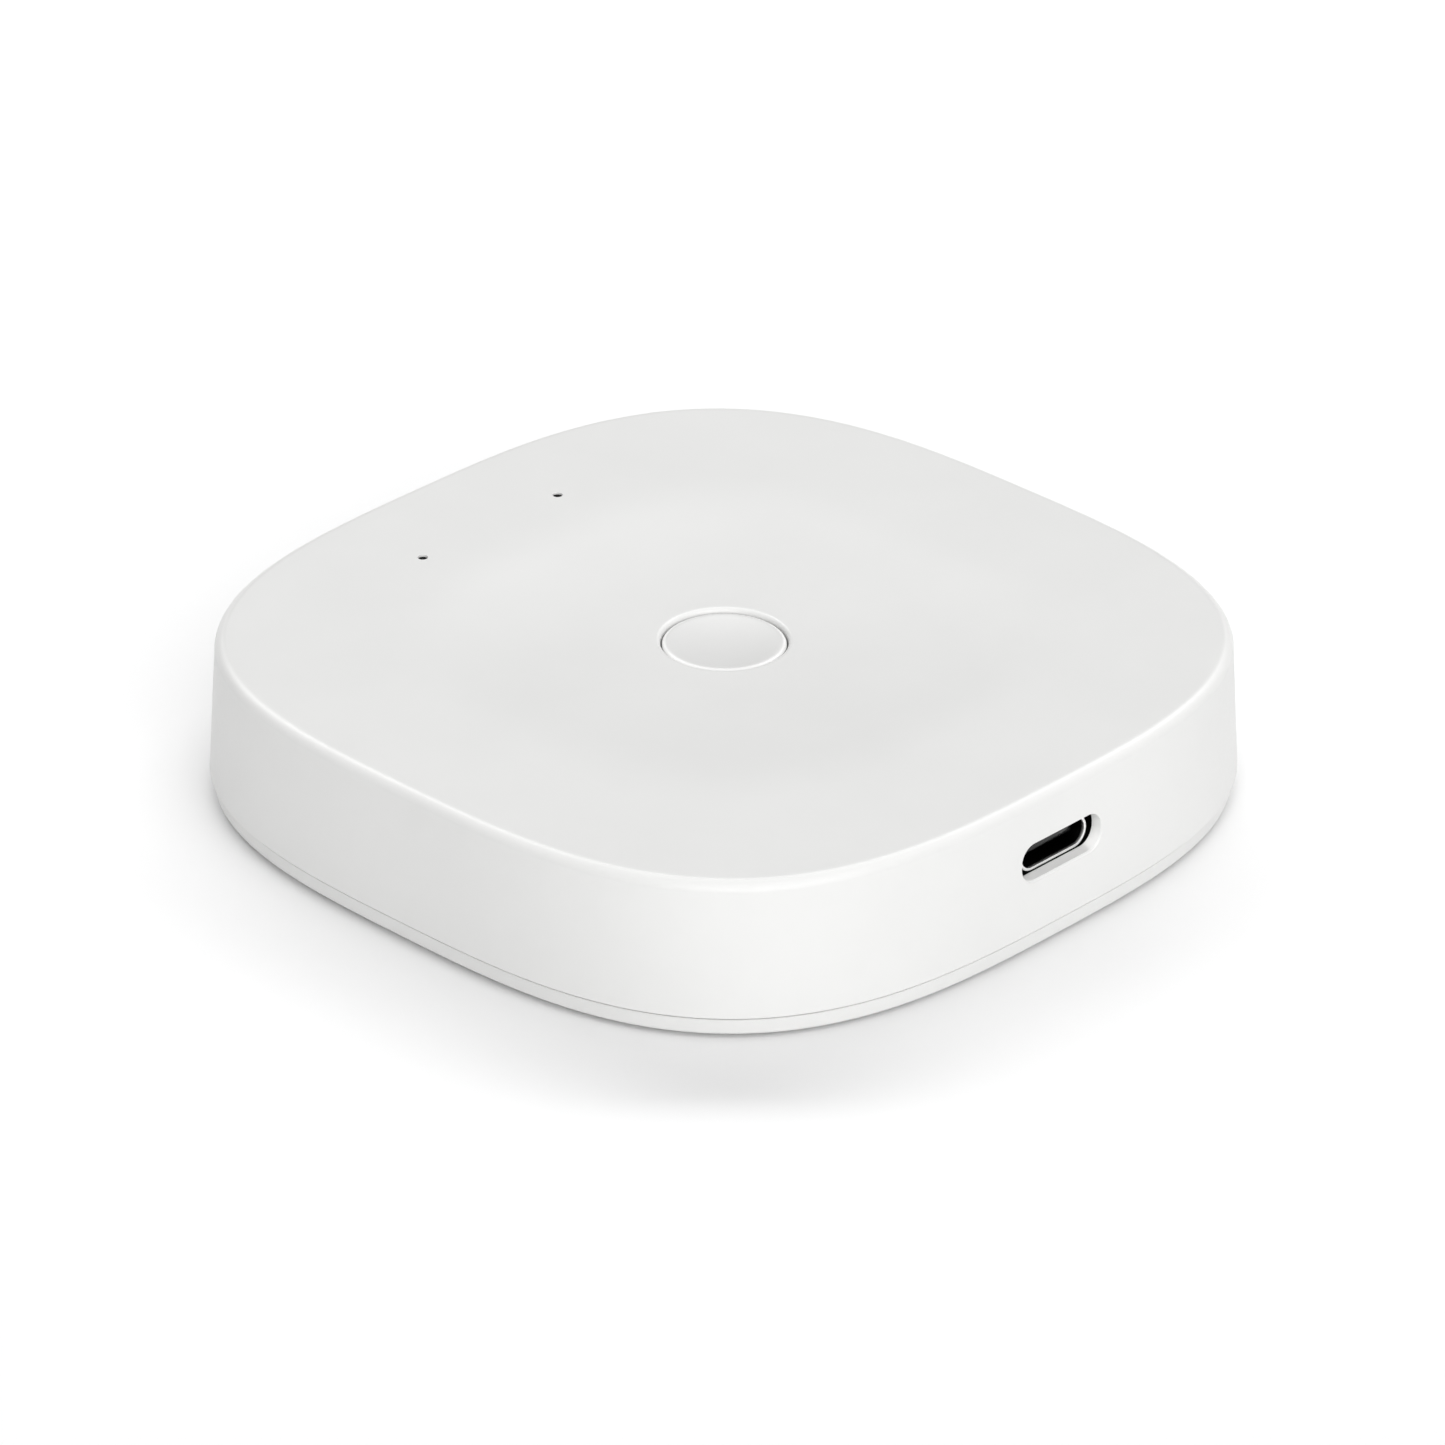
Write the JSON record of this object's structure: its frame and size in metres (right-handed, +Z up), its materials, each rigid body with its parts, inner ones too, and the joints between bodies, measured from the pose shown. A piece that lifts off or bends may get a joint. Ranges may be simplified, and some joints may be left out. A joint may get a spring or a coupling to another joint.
{
  "type": "smart home hub",
  "caption": "Low rounded-square desktop hub with a push button in a shallow dished top, indicator-light holes and a USB-C power inlet in its side wall.",
  "frame": {"origin": "centre of the footprint, on the surface that the feet stand on", "axes": "+Z up through the top face; +Y towards the indicator-light edge (front); -Y towards the wall with the USB-C inlet (rear); +X right as seen from the rear looking to the front"},
  "size_m": [0.085, 0.085, 0.0159],
  "materials": {
    "case_plastic": "satin, very finely textured, white",
    "button_plastic": "satin, very finely textured, white",
    "label_film": "matt printed film, left blank",
    "foot_rubber": "matt moulded",
    "screw_steel": "zinc plated",
    "switch_plastic": "moulded black",
    "sheet_steel": "tinned sheet",
    "inlet_steel": "bright nickel plated",
    "inlet_plastic": "moulded black",
    "board_laminate": "black solder mask over glass laminate",
    "smoked_plastic": "smoke-tinted moulded acrylic",
    "led_resin": "clear and yellow resin",
    "chip_resin": "moulded epoxy",
    "choke_ferrite": "pressed ferrite",
    "antenna_metal": "tinned strip",
    "can_aluminium": "drawn can",
    "capacitor_ceramic": "fired, tinned ends"
  },
  "bodies": {
    "housing": {"top_shell": "case_plastic", "base_shell": "case_plastic", "rating_label": "label_film", "foot_front_left": "foot_rubber", "foot_front_right": "foot_rubber", "foot_rear_left": "foot_rubber", "foot_rear_right": "foot_rubber", "case_screw_front_left": "screw_steel", "case_screw_front_right": "screw_steel", "case_screw_rear_left": "screw_steel", "case_screw_rear_right": "screw_steel", "board_screw_front_left": "screw_steel", "board_screw_front_right": "screw_steel", "board_screw_rear_left": "screw_steel", "board_screw_rear_right": "screw_steel", "switch_base": "switch_plastic", "switch_cover": "sheet_steel", "switch_dome": "sheet_steel", "usb_c_shell": "inlet_steel", "usb_c_tongue": "inlet_plastic", "main_board": "board_laminate", "light_guide": "smoked_plastic", "status_led_left": "led_resin", "status_led_right": "led_resin", "wifi_module_board": "board_laminate", "wifi_module_shield": "sheet_steel", "wifi_radio_chip": "chip_resin", "mesh_module_board": "board_laminate", "mesh_module_shield": "sheet_steel", "mesh_radio_chip": "chip_resin", "wifi_antenna": "antenna_metal", "mesh_antenna": "antenna_metal", "processor_chip": "chip_resin", "memory_chip": "chip_resin", "flash_chip": "chip_resin", "clock_crystal": "can_aluminium", "surge_protector": "chip_resin", "power_regulator": "chip_resin", "power_choke": "choke_ferrite", "bulk_capacitor": "can_aluminium", "input_capacitor": "capacitor_ceramic", "output_capacitor": "capacitor_ceramic"},
    "button": {"button_cap": "button_plastic"},
    "plunger": {"switch_plunger": "switch_plastic"}
  },
  "joints": [
    {"name": "button_press", "type": "slide", "parent": "housing", "child": "button", "axis": [0, 0, -1], "range_m": [0, 0.0003], "stiffness_N_per_m": 5000},
    {"name": "plunger_press", "type": "slide", "parent": "housing", "child": "plunger", "axis": [0, 0, -1], "range_m": [0, 0.0003], "deforming": ["switch_dome"]}
  ],
  "couplings": [
    {"joint": "plunger_press", "follows": "button_press", "ratio": 1}
  ]
}
